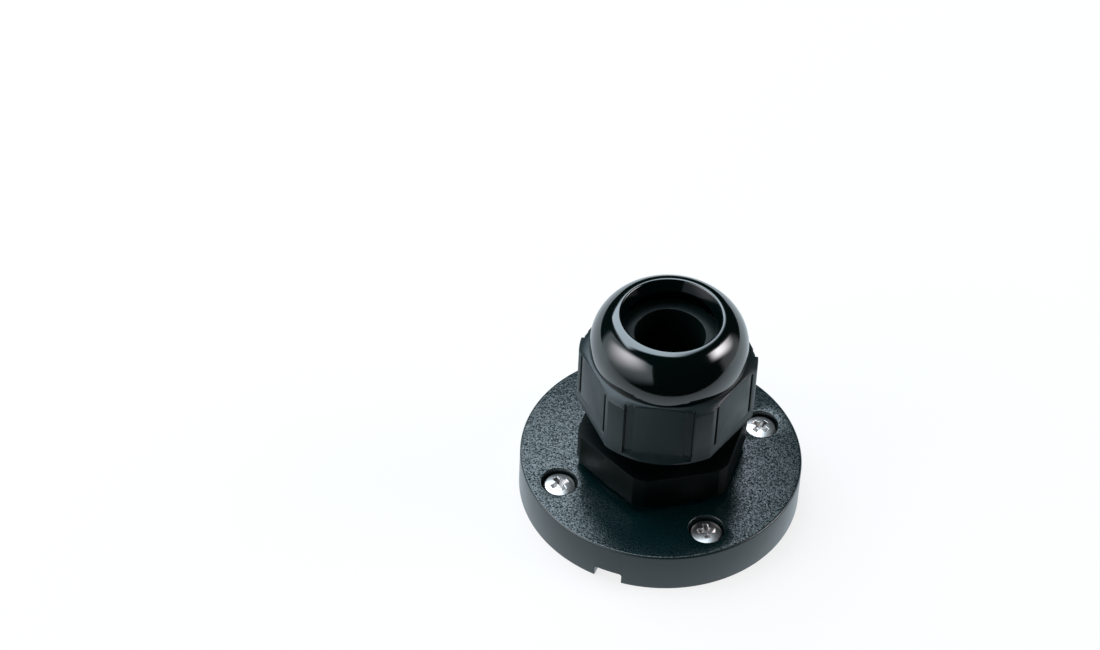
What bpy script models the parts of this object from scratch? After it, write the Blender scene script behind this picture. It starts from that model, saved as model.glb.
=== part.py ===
"""Cable entry grommet: a round flange plate that carries a domed cable gland.

The plate lies on the surface that it is screwed to. The gland's threaded stub goes through
the plate and is held from below by a lock nut. Above the plate the gland has a hexagon, a
threaded neck and a ring of clamping fingers round a rubber seal. The domed nut screws down
over the neck and presses the fingers and the seal onto the cable.

Units are metres and +Z is up. The origin is the centre of the plate's underside, and the
notch in the plate's rim looks along -Y.
"""

import math

import bmesh
import bpy
from mathutils import Matrix, Vector

MM = 0.001

# Fits and roundness
SEAT_GAP = 0.3 * MM
THREAD_CLEARANCE = 0.3 * MM
ROUND_SEGMENTS = 64
SMALL_SEGMENTS = 24
EDGE_STEPS = 3
CROWN_STEPS = 5
SMOOTH_ANGLE = math.radians(35)
TOUCHING = 1e-6

# Rubber seal, sized for the cable
SEAL_HOLE = 12.2 * MM
SEAL_WALL = 2.5 * MM
SEAL_LENGTH = 13.4 * MM
SEAL_LIP = 0.6 * MM
SEAL_STAND = 0.6 * MM

# Gland body: clamping fingers, threaded neck, hexagon and threaded stub
SOCKET_LEDGE = 0.7 * MM
FINGER_COUNT = 12
FINGER_LENGTH = 9.5 * MM
FINGER_WALL = 2.2 * MM
FINGER_SLIT = 0.9 * MM
FINGER_ROOT = 0.8 * MM
FINGER_TAPER = 3.6 * MM
FINGER_TIP_WALL = 0.8 * MM
NECK_STEP = 0.8 * MM
THREAD_LEAD = 0.7 * MM
HEX_SHOULDER = 1.75 * MM
HEX_CORNER_TRIM = 0.6 * MM
HEX_HEIGHT = 6.5 * MM
HEX_CHAMFER = 0.35 * MM
HEX_TURN = math.radians(5.0)
STUB_WALL = 3.05 * MM
STUB_END = 0.5 * MM
STUB_THROUGH = 0.3 * MM

# Sealing ring under the hexagon
GASKET_THICKNESS = 1.1 * MM
GASKET_WIDTH = 1.45 * MM

# Lock nut under the plate
LOCK_NUT_WALL = 2.0 * MM
LOCK_NUT_CHAMFER = 0.5 * MM
LOCK_NUT_TURN = math.radians(30)

# Fixing screws in their counterbores
SCREW_COUNT = 4
SCREW_HEAD_DIAMETER = 5.6 * MM
SCREW_HEAD_HEIGHT = 2.0 * MM
SCREW_SKIRT = 1.0 * MM
SCREW_THREAD_DIAMETER = 2.9 * MM
SCREW_TIP = 1.2 * MM
SCREW_END = 0.8 * MM
SCREW_SINK = 0.3 * MM
SCREW_HOLE_CLEARANCE = 0.25 * MM
COUNTERBORE_CLEARANCE = 0.6 * MM
RECESS_SPAN = 3.7 * MM
RECESS_WING = 0.9 * MM
RECESS_DEPTH = 1.3 * MM
RECESS_TAPER = 0.45
SCREW_TURNS = [math.radians(turn) for turn in (28.0, 70.0, 12.0, 51.0)]

# Flange plate, hollow underneath
PLATE_HEIGHT = 7.9 * MM
PLATE_WALL = 2.2 * MM
PLATE_DECK = 3.0 * MM
PLATE_EDGE = 0.45 * MM
PLATE_DRAFT = 0.25 * MM
PLATE_MARGIN = 0.9 * MM
BOSS_WALL = 1.2 * MM
BOSS_CLEARANCE = 1.35 * MM
NOTCH_WIDTH = 5.0 * MM
NOTCH_HEIGHT = 2.2 * MM
NOTCH_CORNER = 0.5 * MM
RIB_THICKNESS = 1.2 * MM
RIB_LENGTH = 4.0 * MM
RIB_SETBACK = 1.2 * MM
RIB_ANGLE = math.radians(14)

# Domed nut, backed off from the hexagon. Pocketed flats and plain flats take turns.
FLATS_OF_A_KIND = 3
NUT_BACK_OFF = 5.0 * MM
NUT_WALL = 1.9 * MM
NUT_CORNER_TRIM = 0.8 * MM
NUT_GRIP_HEIGHT = 12.5 * MM
NUT_COLLAR = 1.3 * MM
NUT_EDGE = 0.45 * MM
NUT_SHOULDER = 1.05 * MM
SHOULDER_STEP = 0.3 * MM
NUT_TURN = math.radians(15.1)
CREASE_DEPTH = 0.25 * MM
CREASE_WIDTH = 0.3 * MM
DOME_SETBACK = 0.4 * MM
DOME_STRAIGHT = 1.6 * MM
DOME_RISE = 6.9 * MM
DOME_STEPS = 8
MOUTH_DIAMETER = 15.2 * MM
MOUTH_FLARE = 1.0 * MM
MOUTH_LAND = 1.3 * MM
MOUTH_DISH = 0.15 * MM
MOUTH_LIP = 1.7 * MM
CONE_DEPTH = 3.9 * MM
FINGER_CLEARANCE = 0.58 * MM
FINGER_HEADROOM = 5.1 * MM
SLOT_WIDTH = 0.55 * MM
SLOT_DEPTH = 0.7 * MM
SLOT_SPACING = 10.1 * MM
SLOT_END = 1.0 * MM
SLOT_FOOT = 2.4 * MM
PANEL_WIDTH = 9.0 * MM
PANEL_STAND = 0.2 * MM
CHANNEL_WIDTH = 1.55 * MM
POCKET_DEPTH = 0.45 * MM
POCKET_TOP = 0.6 * MM

# Radii, from the cable outwards. The plate comes out 50 mm across.
SEAL_RADIUS = SEAL_HOLE / 2 + SEAL_WALL
SOCKET_RADIUS = SEAL_RADIUS + SEAT_GAP
BORE_RADIUS = SOCKET_RADIUS - SOCKET_LEDGE
FINGER_RADIUS = SOCKET_RADIUS + FINGER_WALL
NECK_RADIUS = FINGER_RADIUS + NECK_STEP
HEX_FLAT = NECK_RADIUS + HEX_SHOULDER
STUB_RADIUS = BORE_RADIUS + STUB_WALL
STUB_HOLE_RADIUS = STUB_RADIUS + THREAD_CLEARANCE
FINGER_TIP_RADIUS = SOCKET_RADIUS + FINGER_TIP_WALL
LOCK_NUT_FLAT = STUB_HOLE_RADIUS + LOCK_NUT_WALL
NUT_BORE_RADIUS = NECK_RADIUS + THREAD_CLEARANCE
NUT_FLAT = NUT_BORE_RADIUS + NUT_WALL
DOME_RADIUS = NUT_FLAT - DOME_SETBACK
MOUTH_RADIUS = MOUTH_DIAMETER / 2
MOUTH_RIM_RADIUS = MOUTH_RADIUS + MOUTH_FLARE
COUNTERBORE_RADIUS = SCREW_HEAD_DIAMETER / 2 + COUNTERBORE_CLEARANCE
SCREW_HOLE_RADIUS = SCREW_THREAD_DIAMETER / 2 + SCREW_HOLE_CLEARANCE
BOSS_RADIUS = COUNTERBORE_RADIUS + BOSS_WALL
SCREW_CIRCLE_RADIUS = LOCK_NUT_FLAT + BOSS_CLEARANCE + BOSS_RADIUS
PLATE_RADIUS = SCREW_CIRCLE_RADIUS + BOSS_RADIUS + PLATE_MARGIN

# Heights, from the plate's underside upwards. The fingers end under the dome.
DECK_BOTTOM = PLATE_HEIGHT - PLATE_DECK
LOCK_NUT_BOTTOM = STUB_END + STUB_THROUGH
LOCK_NUT_TOP = DECK_BOTTOM - SEAT_GAP
SCREW_SEAT = PLATE_HEIGHT - SCREW_SINK - SCREW_HEAD_HEIGHT
COUNTERBORE_FLOOR = SCREW_SEAT - SEAT_GAP
GASKET_BOTTOM = PLATE_HEIGHT + SEAT_GAP
GASKET_TOP = GASKET_BOTTOM + GASKET_THICKNESS
HEX_BOTTOM = GASKET_TOP + SEAT_GAP
HEX_TOP = HEX_BOTTOM + HEX_HEIGHT
NUT_BOTTOM = HEX_TOP + NUT_BACK_OFF
NUT_CREASE = NUT_BOTTOM + NUT_GRIP_HEIGHT
DOME_SPRING = NUT_CREASE + DOME_STRAIGHT
NUT_TOP = DOME_SPRING + DOME_RISE
FINGER_TOP = NUT_TOP - FINGER_HEADROOM
NECK_TOP = FINGER_TOP - FINGER_LENGTH
SEAL_TOP = FINGER_TOP + SEAL_STAND
SEAL_BOTTOM = SEAL_TOP - SEAL_LENGTH
SOCKET_FLOOR = SEAL_BOTTOM - SEAT_GAP


def hexagon_corner(flat, trim):
    """Radius of a hexagon's corners, from its flats' distance, once trim is turned off them."""
    return flat / math.cos(math.pi / 6) - trim


def clear_scene():
    for item in list(bpy.data.objects):
        bpy.data.objects.remove(item, do_unlink=True)


def make_material(name, colour, roughness, metallic=0.0):
    material = bpy.data.materials.new(name)
    material.use_nodes = True
    shader = material.node_tree.nodes["Principled BSDF"]
    shader.inputs["Base Color"].default_value = (*colour, 1.0)
    shader.inputs["Roughness"].default_value = roughness
    shader.inputs["Metallic"].default_value = metallic
    return material


def make_object(name, bm, material=None):
    """Turn a closed bmesh into an object with smooth round faces."""
    bmesh.ops.recalc_face_normals(bm, faces=bm.faces)
    mesh = bpy.data.meshes.new(name)
    bm.to_mesh(mesh)
    bm.free()
    mesh.shade_smooth()
    mesh.set_sharp_from_angle(angle=SMOOTH_ANGLE)
    if material:
        mesh.materials.append(material)
    made = bpy.data.objects.new(name, mesh)
    bpy.context.collection.objects.link(made)
    return made


def combine(target, tool, operation):
    """Cut target with tool, or join tool to it. The tool stays as a hidden guide."""
    modifier = target.modifiers.new(tool.name, "BOOLEAN")
    modifier.operation = operation
    modifier.solver = "EXACT"
    modifier.object = tool
    tool.hide_render = True
    tool.display_type = "WIRE"
    tool.parent = target


def turned(bm, profile, segments=ROUND_SEGMENTS, place=Matrix.Identity(4)):
    """Spin a closed (radius, height) outline round the Z axis of place."""
    ring = [bm.verts.new((radius, 0.0, height)) for radius, height in profile]
    edges = [bm.edges.new((ring[i - 1], ring[i])) for i in range(len(ring))]
    known = set(bm.verts) - set(ring)
    bmesh.ops.spin(
        bm,
        geom=ring + edges,
        cent=(0.0, 0.0, 0.0),
        axis=(0.0, 0.0, 1.0),
        angle=math.tau,
        steps=segments,
        use_merge=True,
    )
    fresh = [vert for vert in bm.verts if vert not in known]
    on_axis = [vert for vert in fresh if vert.co.xy.length < TOUCHING]
    bmesh.ops.remove_doubles(bm, verts=on_axis, dist=TOUCHING)
    fresh = [vert for vert in bm.verts if vert not in known]
    bmesh.ops.transform(bm, matrix=place, verts=fresh)
    return fresh


def prism(bm, outline, rise, taper=1.0):
    """Extrude a closed outline of points by the vector rise, and scale its far end."""
    base = bm.faces.new([bm.verts.new(point) for point in outline])
    grown = bmesh.ops.extrude_face_region(bm, geom=[base], use_keep_orig=True)
    far = [item for item in grown["geom"] if isinstance(item, bmesh.types.BMVert)]
    bmesh.ops.translate(bm, vec=rise, verts=far)
    if taper != 1.0:
        middle = sum((vert.co for vert in far), Vector()) / len(far)
        bmesh.ops.scale(bm, vec=(taper, taper, 1.0), space=Matrix.Translation(-middle), verts=far)


def arc(centre, radius, start, end, steps):
    """Points on an arc in the plane of a profile, from start to end in radians."""
    points = []
    for step in range(steps + 1):
        angle = start + (end - start) * step / steps
        points.append((centre[0] + radius * math.cos(angle), centre[1] + radius * math.sin(angle)))
    return points


def hexagon_trimmer(name, flat, bottom, top, turn):
    """A sleeve with a hexagonal inside, spun in six steps, which cuts flats on a round blank.

    One of the hexagon's corners is turned by turn from -Y.
    """
    inner = hexagon_corner(flat, 0.0)
    outer = inner * 2
    bm = bmesh.new()
    profile = [(inner, bottom), (outer, bottom), (outer, top), (inner, top)]
    turned(bm, profile, 6, Matrix.Rotation(turn - math.pi / 2, 4, "Z"))
    return make_object(name, bm)


def around(count, turn, radius=0.0):
    """Placements evenly spaced on a circle, the first one facing -Y and turned by turn."""
    for index in range(count):
        angle = turn + math.tau * index / count
        yield Matrix.Rotation(angle, 4, "Z") @ Matrix.Translation((0.0, -radius, 0.0))


def place_last(bm, known, place):
    bmesh.ops.transform(bm, matrix=place, verts=[vert for vert in bm.verts if vert not in known])


def screw_places():
    """The screws stand midway between the plate's main directions."""
    return list(around(SCREW_COUNT, math.pi / SCREW_COUNT, SCREW_CIRCLE_RADIUS))


def plate_shell():
    """The plate's turned form: a flat deck with a hole, and a wall round it."""
    hollow = PLATE_RADIUS - PLATE_WALL
    corner = (PLATE_RADIUS - PLATE_EDGE, PLATE_HEIGHT - PLATE_EDGE)
    profile = [(STUB_HOLE_RADIUS, DECK_BOTTOM), (STUB_HOLE_RADIUS, PLATE_HEIGHT)]
    profile += arc(corner, PLATE_EDGE, math.pi / 2, 0.0, EDGE_STEPS)
    profile += [(PLATE_RADIUS, 0.0), (hollow, 0.0), (hollow - PLATE_DRAFT, DECK_BOTTOM)]
    bm = bmesh.new()
    turned(bm, profile)
    return bm


def plate_bosses():
    bm = bmesh.new()
    for place in screw_places():
        profile = [(0.0, 0.0), (BOSS_RADIUS, 0.0), (BOSS_RADIUS, DECK_BOTTOM + PLATE_DECK / 2)]
        profile.append((0.0, DECK_BOTTOM + PLATE_DECK / 2))
        turned(bm, profile, SMALL_SEGMENTS, place)
    return make_object("boss_forms", bm)


def plate_ribs():
    """Short ribs that stiffen the wall on both sides of each main direction."""
    bm = bmesh.new()
    outer = PLATE_RADIUS - PLATE_WALL / 2
    inner = PLATE_RADIUS - PLATE_WALL - RIB_LENGTH
    half = RIB_THICKNESS / 2
    for side in (-1, 1):
        for place in around(SCREW_COUNT, side * RIB_ANGLE):
            known = set(bm.verts)
            outline = [(-half, -outer, RIB_SETBACK), (half, -outer, RIB_SETBACK)]
            outline += [(half, -inner, RIB_SETBACK), (-half, -inner, RIB_SETBACK)]
            prism(bm, outline, (0.0, 0.0, DECK_BOTTOM + PLATE_DECK / 2 - RIB_SETBACK))
            place_last(bm, known, place)
    return make_object("rib_forms", bm)


def screw_hole_cutters():
    bm = bmesh.new()
    over = PLATE_HEIGHT + PLATE_EDGE
    profile = [(0.0, -PLATE_EDGE), (SCREW_HOLE_RADIUS, -PLATE_EDGE)]
    profile += [(SCREW_HOLE_RADIUS, COUNTERBORE_FLOOR), (COUNTERBORE_RADIUS, COUNTERBORE_FLOOR)]
    profile += [(COUNTERBORE_RADIUS, over), (0.0, over)]
    for place in screw_places():
        turned(bm, profile, SMALL_SEGMENTS, place)
    return make_object("screw_hole_cutters", bm)


def notch_cutter():
    """An open arch through the wall at -Y, with rounded upper corners."""
    bm = bmesh.new()
    half = NOTCH_WIDTH / 2
    side = half - NOTCH_CORNER
    crown = NOTCH_HEIGHT - NOTCH_CORNER
    outline = [(-half, -NOTCH_HEIGHT), (half, -NOTCH_HEIGHT)]
    outline += arc((side, crown), NOTCH_CORNER, 0.0, math.pi / 2, EDGE_STEPS)
    outline += arc((-side, crown), NOTCH_CORNER, math.pi / 2, math.pi, EDGE_STEPS)
    front = -PLATE_RADIUS - PLATE_WALL
    prism(bm, [(x, front, z) for x, z in outline], (0.0, PLATE_WALL * 3, 0.0))
    return make_object("notch_cutter", bm)


def build_flange_plate(material):
    plate = make_object("flange_plate", plate_shell(), material)
    combine(plate, plate_bosses(), "UNION")
    combine(plate, plate_ribs(), "UNION")
    combine(plate, screw_hole_cutters(), "DIFFERENCE")
    combine(plate, notch_cutter(), "DIFFERENCE")
    return plate


def screw_head_profile():
    """A pan head: a short skirt under a crown that is part of a ball."""
    radius = SCREW_HEAD_DIAMETER / 2
    rise = SCREW_HEAD_HEIGHT - SCREW_SKIRT
    ball = (radius ** 2 + rise ** 2) / (2 * rise)
    edge = math.asin(radius / ball)
    middle = (0.0, SCREW_HEAD_HEIGHT - ball)
    crown = arc(middle, ball, math.pi / 2 - edge, math.pi / 2, CROWN_STEPS)
    shank = SCREW_THREAD_DIAMETER / 2
    end = SCREW_END - SCREW_SEAT
    profile = [(0.0, end), (shank / 3, end), (shank, end + SCREW_TIP)]
    profile += [(shank, 0.0), (radius, 0.0)]
    return profile + crown


def cross_recess_cutter():
    bm = bmesh.new()
    span = RECESS_SPAN / 2
    wing = RECESS_WING / 2
    corner = [(wing, wing), (wing, span), (-wing, span)]
    outline = []
    for quarter in range(4):
        for x, y in corner:
            outline.append(Matrix.Rotation(quarter * math.pi / 2, 2) @ Vector((x, y)))
    over = SCREW_HEAD_HEIGHT + RECESS_WING
    drop = Vector((0.0, 0.0, -RECESS_DEPTH - RECESS_WING))
    prism(bm, [(point.x, point.y, over) for point in outline], drop, RECESS_TAPER)
    return make_object("cross_recess_cutter", bm)


def build_screws(material):
    """One screw is cut once, and its mesh serves all four."""
    bm = bmesh.new()
    turned(bm, screw_head_profile(), SMALL_SEGMENTS)
    pattern = make_object("screw_pattern", bm, material)
    cutter = cross_recess_cutter()
    combine(pattern, cutter, "DIFFERENCE")
    graph = bpy.context.evaluated_depsgraph_get()
    mesh = bpy.data.meshes.new_from_object(pattern.evaluated_get(graph))
    bpy.data.objects.remove(cutter, do_unlink=True)
    bpy.data.objects.remove(pattern, do_unlink=True)
    for number, (place, turn) in enumerate(zip(screw_places(), SCREW_TURNS), 1):
        screw = bpy.data.objects.new(f"screw_{number}", mesh)
        screw.location = place.to_translation() + Vector((0.0, 0.0, SCREW_SEAT))
        screw.rotation_euler = (0.0, 0.0, turn)
        bpy.context.collection.objects.link(screw)


def build_gasket(material):
    edge = GASKET_THICKNESS / 4
    outer = STUB_HOLE_RADIUS + GASKET_WIDTH
    profile = [(STUB_HOLE_RADIUS, GASKET_BOTTOM), (outer - edge, GASKET_BOTTOM)]
    profile += [(outer, GASKET_BOTTOM + edge), (outer, GASKET_TOP - edge)]
    profile += [(outer - edge, GASKET_TOP), (STUB_HOLE_RADIUS, GASKET_TOP)]
    bm = bmesh.new()
    turned(bm, profile)
    return make_object("hex_gasket", bm, material)


def gland_body_profile():
    """Outline of the turned blank: bore, socket for the seal, fingers, neck, hexagon, stub."""
    corner = hexagon_corner(HEX_FLAT, HEX_CORNER_TRIM)
    inside = [(BORE_RADIUS, STUB_END), (BORE_RADIUS, SOCKET_FLOOR)]
    inside += [(SOCKET_RADIUS, SOCKET_FLOOR), (SOCKET_RADIUS, FINGER_TOP)]
    fingers = [(FINGER_TIP_RADIUS, FINGER_TOP), (FINGER_RADIUS, FINGER_TOP - FINGER_TAPER)]
    fingers.append((FINGER_RADIUS, NECK_TOP))
    neck = [(NECK_RADIUS - THREAD_LEAD, NECK_TOP), (NECK_RADIUS, NECK_TOP - THREAD_LEAD)]
    neck.append((NECK_RADIUS, HEX_TOP))
    head = [(corner - HEX_CHAMFER, HEX_TOP), (corner, HEX_TOP - HEX_CHAMFER)]
    head += [(corner, HEX_BOTTOM + HEX_CHAMFER), (corner - HEX_CHAMFER, HEX_BOTTOM)]
    stub = [(STUB_RADIUS, HEX_BOTTOM), (STUB_RADIUS, STUB_END + THREAD_LEAD)]
    stub.append((STUB_RADIUS - THREAD_LEAD, STUB_END))
    return inside + fingers + neck + head + stub


def finger_slit_cutters():
    bm = bmesh.new()
    half = FINGER_SLIT / 2
    inner = SOCKET_RADIUS - FINGER_WALL / 2
    outer = FINGER_RADIUS + FINGER_WALL / 2
    bottom = NECK_TOP + FINGER_ROOT
    for place in around(FINGER_COUNT, HEX_TURN):
        known = set(bm.verts)
        outline = [(-half, -outer, bottom), (half, -outer, bottom)]
        outline += [(half, -inner, bottom), (-half, -inner, bottom)]
        prism(bm, outline, (0.0, 0.0, FINGER_LENGTH))
        place_last(bm, known, place)
    return make_object("finger_slit_cutters", bm)


def build_gland_body(material):
    bm = bmesh.new()
    turned(bm, gland_body_profile())
    body = make_object("gland_body", bm, material)
    trimmer = hexagon_trimmer(
        "hexagon_trimmer",
        HEX_FLAT,
        HEX_BOTTOM - HEX_CHAMFER,
        HEX_TOP + HEX_CHAMFER,
        HEX_TURN,
    )
    combine(body, trimmer, "DIFFERENCE")
    combine(body, finger_slit_cutters(), "DIFFERENCE")
    return body


def build_seal(material):
    """A rubber sleeve whose hole has a flared lip at both ends."""
    hole = SEAL_HOLE / 2
    profile = [(hole + SEAL_LIP, SEAL_BOTTOM), (hole, SEAL_BOTTOM + SEAL_LIP)]
    profile.append((hole, SEAL_TOP - SEAL_LIP))
    profile += [(hole + SEAL_LIP / 2, SEAL_TOP), (SEAL_RADIUS - SEAL_LIP, SEAL_TOP)]
    profile += [(SEAL_RADIUS, SEAL_TOP - SEAL_LIP), (SEAL_RADIUS, SEAL_BOTTOM)]
    bm = bmesh.new()
    turned(bm, profile)
    return make_object("sealing_insert", bm, material)


def build_lock_nut(material):
    bottom = LOCK_NUT_BOTTOM
    top = LOCK_NUT_TOP
    outer = hexagon_corner(LOCK_NUT_FLAT, HEX_CORNER_TRIM)
    lead = LOCK_NUT_CHAMFER
    profile = [(STUB_HOLE_RADIUS + lead, bottom), (STUB_HOLE_RADIUS, bottom + lead)]
    profile += [(STUB_HOLE_RADIUS, top), (outer, top), (outer, bottom + lead)]
    profile.append((outer - lead, bottom))
    bm = bmesh.new()
    turned(bm, profile)
    nut = make_object("lock_nut", bm, material)
    trimmer = hexagon_trimmer(
        "lock_nut_trimmer",
        LOCK_NUT_FLAT,
        bottom - lead,
        top + lead,
        LOCK_NUT_TURN,
    )
    combine(nut, trimmer, "DIFFERENCE")
    return nut


def dome_arc():
    """The dome's outside: it leaves the straight wall upright and bends in to the mouth."""
    inset = DOME_RADIUS - MOUTH_RIM_RADIUS - MOUTH_LAND
    bend = (inset ** 2 + DOME_RISE ** 2) / (2 * inset)
    end = math.asin(DOME_RISE / bend)
    return arc((DOME_RADIUS - bend, DOME_SPRING), bend, 0.0, end, DOME_STEPS)


def nut_profile():
    """Outline of the turned blank: bore and inner cone, flared mouth, dome, crease and grip."""
    bore = NUT_BORE_RADIUS
    grip = hexagon_corner(NUT_FLAT, NUT_CORNER_TRIM)
    wall = DOME_RADIUS
    shoulder = wall + SHOULDER_STEP
    lip = NUT_TOP - MOUTH_LIP
    inside = [(bore + NUT_EDGE, NUT_BOTTOM), (bore, NUT_BOTTOM + NUT_EDGE)]
    inside += [(bore, FINGER_TOP - CONE_DEPTH), (FINGER_TIP_RADIUS + FINGER_CLEARANCE, FINGER_TOP)]
    inside += [(MOUTH_RADIUS, lip), (MOUTH_RIM_RADIUS, NUT_TOP - MOUTH_DISH)]
    dome = list(reversed(dome_arc()))
    crease = [(wall, NUT_CREASE + CREASE_WIDTH / 2), (wall - CREASE_DEPTH, NUT_CREASE)]
    crease.append((shoulder, NUT_CREASE - CREASE_WIDTH / 2))
    outside = [(grip, NUT_CREASE - NUT_SHOULDER), (grip, NUT_BOTTOM + NUT_EDGE)]
    outside.append((grip - NUT_EDGE, NUT_BOTTOM))
    return inside + dome + crease + outside


def plain_flat_cutters():
    """Three flats that run from the crease down through the collar."""
    bm = bmesh.new()
    face = NUT_FLAT
    far = NUT_FLAT * 2
    half = NUT_FLAT * math.tan(math.pi / 5)
    bottom = NUT_BOTTOM - NUT_EDGE
    for place in around(FLATS_OF_A_KIND, NUT_TURN + math.pi / FLATS_OF_A_KIND):
        known = set(bm.verts)
        outline = [(-half, -far, bottom), (half, -far, bottom)]
        outline += [(half, -face, bottom), (-half, -face, bottom)]
        prism(bm, outline, (0.0, 0.0, NUT_CREASE - bottom))
        place_last(bm, known, place)
    return make_object("plain_flat_cutters", bm)


def pocket_cutters():
    """Three pockets that stop at the collar, each with a raised panel in the middle."""
    bm = bmesh.new()
    floor = NUT_FLAT - POCKET_DEPTH
    far = NUT_FLAT * 2
    panel = PANEL_WIDTH / 2
    side = panel + CHANNEL_WIDTH
    bottom = NUT_BOTTOM + NUT_COLLAR
    top = NUT_CREASE - POCKET_TOP
    plan = [(-side, far), (-side, floor), (-panel, floor), (-panel, floor + PANEL_STAND)]
    plan += [(-x, y) for x, y in reversed(plan)]
    for place in around(FLATS_OF_A_KIND, NUT_TURN):
        known = set(bm.verts)
        prism(bm, [(x, -y, bottom) for x, y in plan], (0.0, 0.0, top - bottom))
        place_last(bm, known, place)
    return make_object("pocket_cutters", bm)


def slot_cutters():
    """Two narrow upright slots in each plain flat, with a round upper end."""
    bm = bmesh.new()
    half = SLOT_WIDTH / 2
    floor = NUT_FLAT - SLOT_DEPTH
    far = NUT_FLAT * 2
    bottom = NUT_BOTTOM + SLOT_FOOT
    top = NUT_CREASE - SLOT_END
    for place in around(FLATS_OF_A_KIND, NUT_TURN + math.pi / FLATS_OF_A_KIND):
        for side in (-1, 1):
            known = set(bm.verts)
            middle = side * SLOT_SPACING / 2
            outline = [(middle - half, bottom), (middle + half, bottom)]
            outline += arc((middle, top - half), half, 0.0, math.pi, EDGE_STEPS)
            prism(bm, [(x, -far, z) for x, z in outline], (0.0, far - floor, 0.0))
            place_last(bm, known, place)
    return make_object("slot_cutters", bm)


def build_dome_nut(material):
    bm = bmesh.new()
    turned(bm, nut_profile())
    nut = make_object("dome_nut", bm, material)
    combine(nut, plain_flat_cutters(), "DIFFERENCE")
    combine(nut, pocket_cutters(), "DIFFERENCE")
    combine(nut, slot_cutters(), "DIFFERENCE")
    return nut


def main():
    clear_scene()
    grained = make_material("grained_nylon", (0.030, 0.034, 0.038), 0.55)
    satin = make_material("satin_nylon", (0.016, 0.018, 0.018), 0.42)
    gloss = make_material("gloss_nylon", (0.010, 0.011, 0.012), 0.16)
    rubber = make_material("black_rubber", (0.012, 0.013, 0.013), 0.70)
    steel = make_material("stainless_steel", (0.62, 0.61, 0.59), 0.28, 1.0)
    build_flange_plate(grained)
    build_screws(steel)
    build_gasket(rubber)
    build_gland_body(satin)
    build_lock_nut(satin)
    build_seal(rubber)
    build_dome_nut(gloss)


main()
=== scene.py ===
"""Cable entry grommet: a round flange plate that carries a domed cable gland.

The packed solids give the places and the main sizes. The pieces here have their true edges,
threads and surfaces, and each one rides on the body that carries it. Units are metres, +Z is
up, and the notch in the plate's rim looks along -Y.
"""

import math

import bmesh
import bpy
from bpy.props import FloatProperty, FloatVectorProperty, IntProperty, PointerProperty
from bpy.types import Operator, Panel, PropertyGroup
from mathutils import Matrix, Quaternion, Vector


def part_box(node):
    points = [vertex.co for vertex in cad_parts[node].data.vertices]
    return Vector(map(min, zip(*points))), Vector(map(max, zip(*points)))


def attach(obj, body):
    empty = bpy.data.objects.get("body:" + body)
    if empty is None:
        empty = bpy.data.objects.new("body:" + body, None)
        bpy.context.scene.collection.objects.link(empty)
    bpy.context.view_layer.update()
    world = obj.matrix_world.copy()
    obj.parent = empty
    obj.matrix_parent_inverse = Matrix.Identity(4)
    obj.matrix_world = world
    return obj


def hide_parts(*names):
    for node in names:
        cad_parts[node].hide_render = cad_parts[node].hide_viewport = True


bl_info = {
    "name": "Cable Entry Grommet",
    "version": (1, 0, 0),
    "blender": (4, 5, 0),
    "location": "View3D > Sidebar > Grommet",
    "description": "Builds a flange plate with a domed cable gland, and a small studio round it",
    "category": "Add Mesh",
}

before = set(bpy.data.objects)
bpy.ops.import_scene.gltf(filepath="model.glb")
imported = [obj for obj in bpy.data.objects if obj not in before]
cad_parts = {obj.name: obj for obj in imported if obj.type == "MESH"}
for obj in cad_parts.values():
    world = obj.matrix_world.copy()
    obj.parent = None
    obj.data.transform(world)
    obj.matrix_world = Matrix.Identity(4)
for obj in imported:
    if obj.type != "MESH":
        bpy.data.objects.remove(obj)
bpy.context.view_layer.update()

MM = 0.001
TOUCHING = 1e-7
CORNER_SEGMENTS = 5
# Half widths of a thread's ridge at its root and its crest, next to the pitch
THREAD_ROOT = 0.42
THREAD_TIP = 0.10
# Half the width of a flat's cutter next to the flat's distance from the axis
FLAT_REACH = math.tan(math.pi / 5)
# Upward part of a face's normal from which the face belongs to the deck
FACING_UP = 0.9
PAPER_GAP = 0.02 * MM
# Light of the paper in reflections, at the object's axis
PAPER_LIGHT_AT_OBJECT = 1.1
BODY = "mounted_body"
NUT = "nut"
SCREWS = ("screw_1", "screw_2", "screw_3", "screw_4")


# Sidebar settings

def length(name, description, millimetres):
    """A length, stated in millimetres and kept in metres."""
    kind = {"unit": "LENGTH", "precision": 5}
    return FloatProperty(name=name, description=description, default=millimetres * MM, **kind)


def rounding(edge, millimetres):
    return length(edge, f"Rounding of the {edge.lower()}", millimetres)


def turn(name, description, degrees):
    """An angle, stated in degrees and kept in radians."""
    kind = {"unit": "ROTATION", "subtype": "ANGLE"}
    return FloatProperty(name=name, description=description, default=math.radians(degrees), **kind)


def share(name, description, default):
    return FloatProperty(name=name, description=description, default=default, min=0.0, max=1.0)


def roughness_of(thing, default):
    return share(f"{thing} roughness", f"Roughness of the {thing.lower()}", default)


def factor(name, description, default):
    return FloatProperty(name=name, description=description, default=default, min=1.0)


def count(name, description, default):
    return IntProperty(name=name, description=description, default=default, min=1)


def steps_round(thing, default):
    return count(f"{thing.capitalize()} steps", f"Steps round the {thing}", default)


def colour(name, description, default):
    kind = {"min": 0.0, "max": 1.0, "subtype": "COLOR"}
    return FloatVectorProperty(name=name, description=description, default=default, **kind)


def span(node):
    """Outer radius, lower end and upper end of a round node."""
    low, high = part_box(node)
    return high[0], low[2], high[2]


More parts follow.
